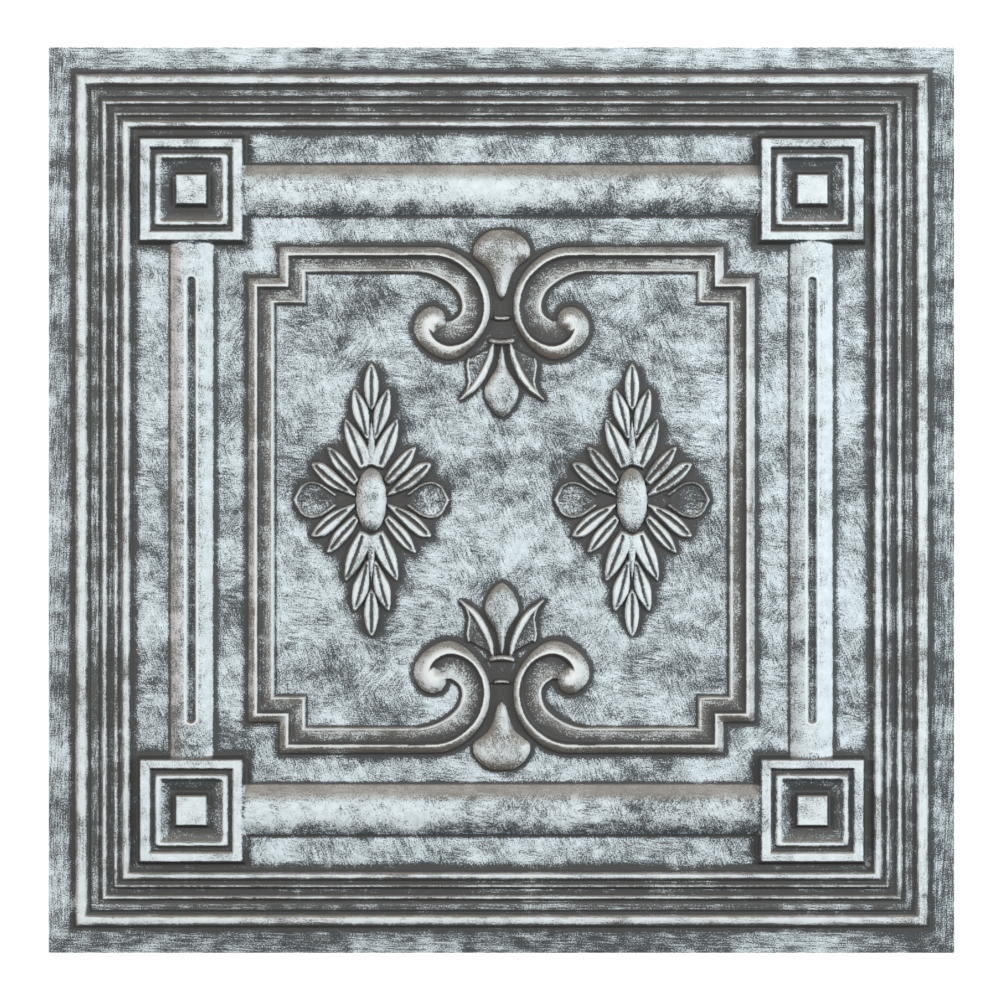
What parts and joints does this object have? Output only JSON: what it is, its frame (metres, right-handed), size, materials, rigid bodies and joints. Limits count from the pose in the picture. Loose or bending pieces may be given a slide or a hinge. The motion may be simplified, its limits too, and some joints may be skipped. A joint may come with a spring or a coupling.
{
  "type": "ceiling tile",
  "caption": "Square embossed ceiling tile, one formed sheet with mitred border mouldings, corner blocks, bars, a scrolled centre frame and leaf medallions over an open hollow back.",
  "frame": {"origin": "middle of the tile's outline, on the plane that the back of the flange lies on", "axes": "+Z out of the embossed face, X and Y along the tile's sides, with the two slotted bars along Y"},
  "size_m": [0.6, 0.6, 0.01],
  "materials": {
    "painted_pvc": "charcoal vacuum-formed PVC sheet with a fine pebble grain, dry-brushed with antique silver paint on the raised forms"
  },
  "bodies": {
    "root": {"ceiling_tile": "painted_pvc"}
  },
  "joints": []
}
